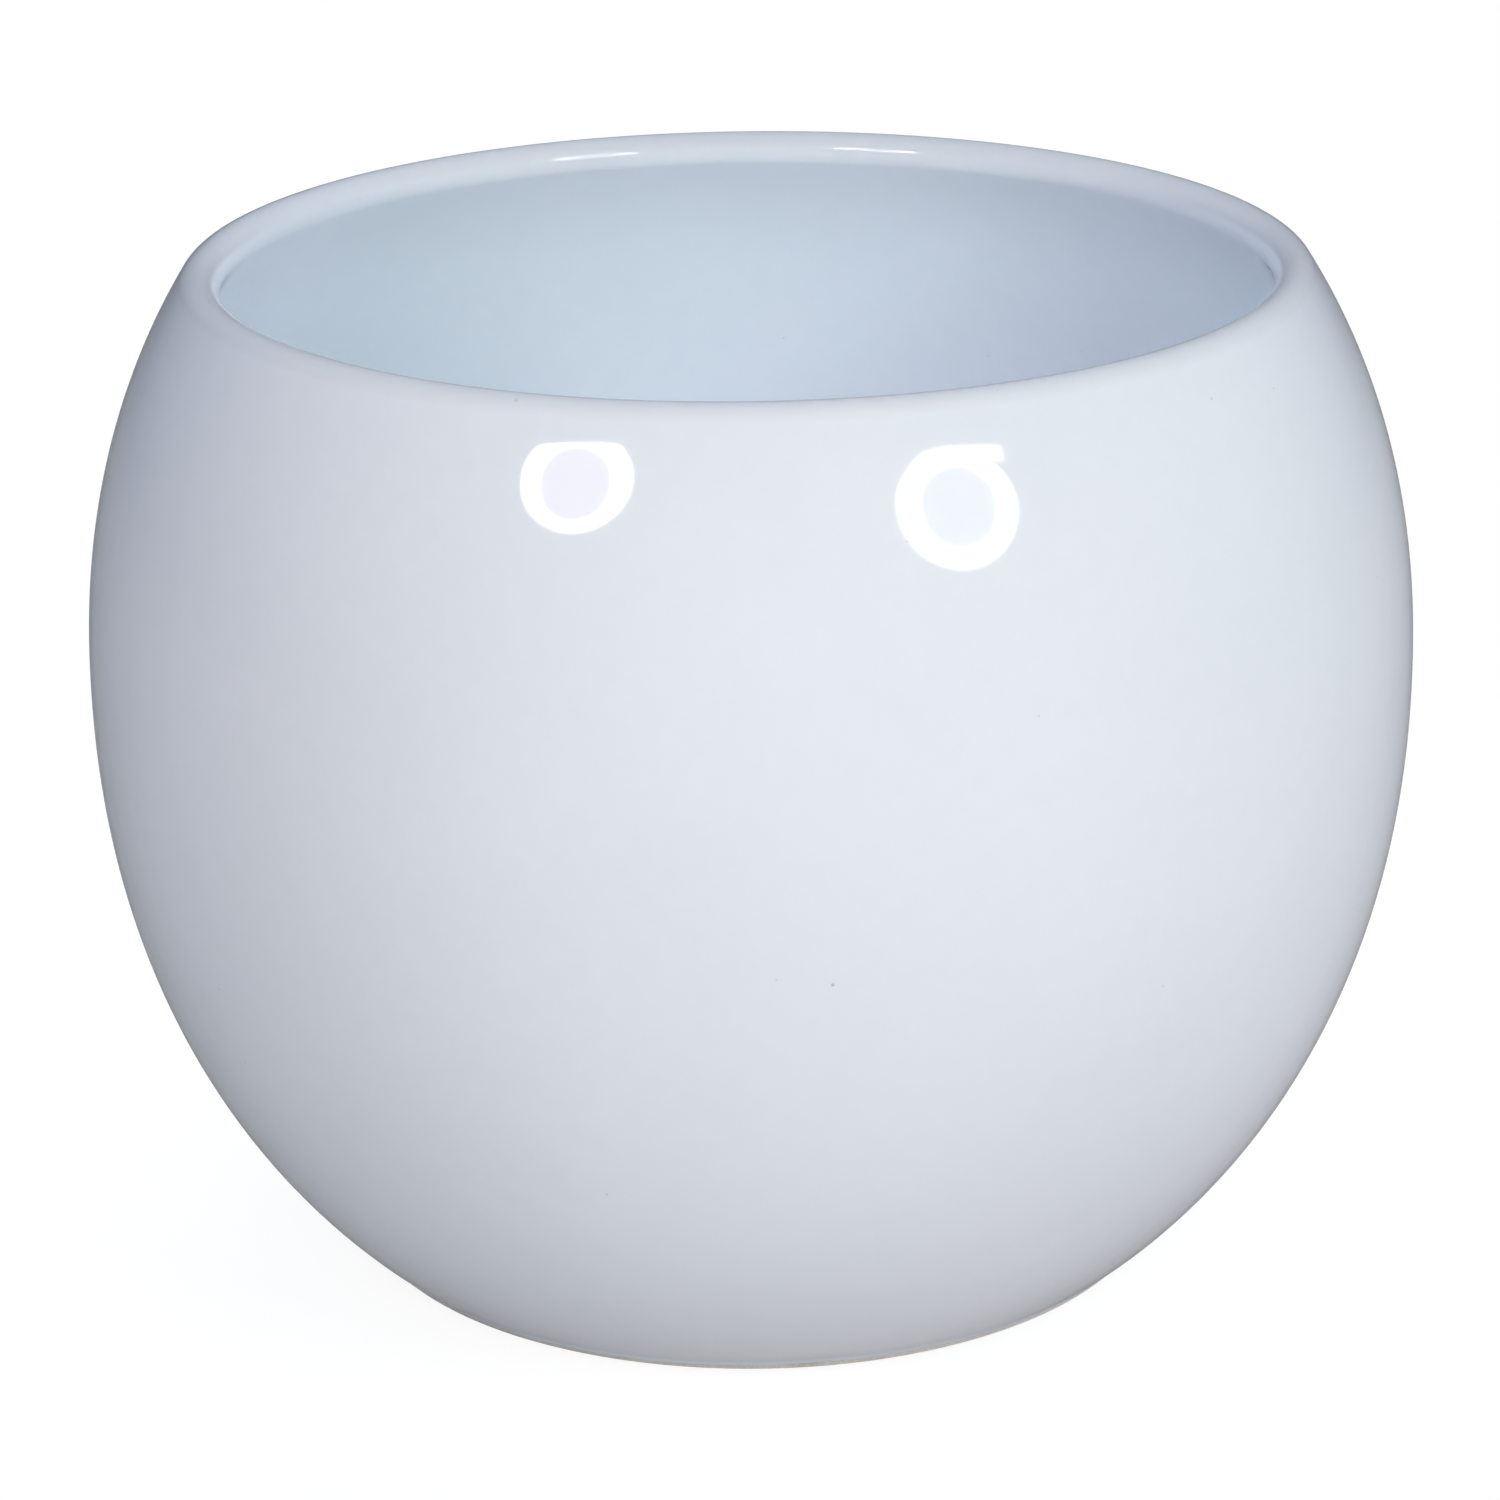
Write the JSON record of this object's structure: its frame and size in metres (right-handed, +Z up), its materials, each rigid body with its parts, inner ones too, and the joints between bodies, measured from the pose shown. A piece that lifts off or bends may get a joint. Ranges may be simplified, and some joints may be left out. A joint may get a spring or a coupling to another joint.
{
  "type": "plant pot",
  "caption": "Round-bellied glazed ceramic plant pot with a full round lip, an open mouth for a grow pot and a bare foot ring under its base.",
  "frame": {"origin": "centre of the foot ring, on the surface that the pot stands on", "axes": "+Z up along the pot's turning axis, out of its mouth; +Y away from the camera and +X to its right"},
  "size_m": [0.14, 0.14, 0.107],
  "materials": {
    "fired_clay": "bare, matt",
    "white_glaze": "glossy"
  },
  "bodies": {
    "root": {"clay_body": "fired_clay", "glaze_coat": "white_glaze", "base_glaze": "white_glaze"}
  },
  "joints": []
}
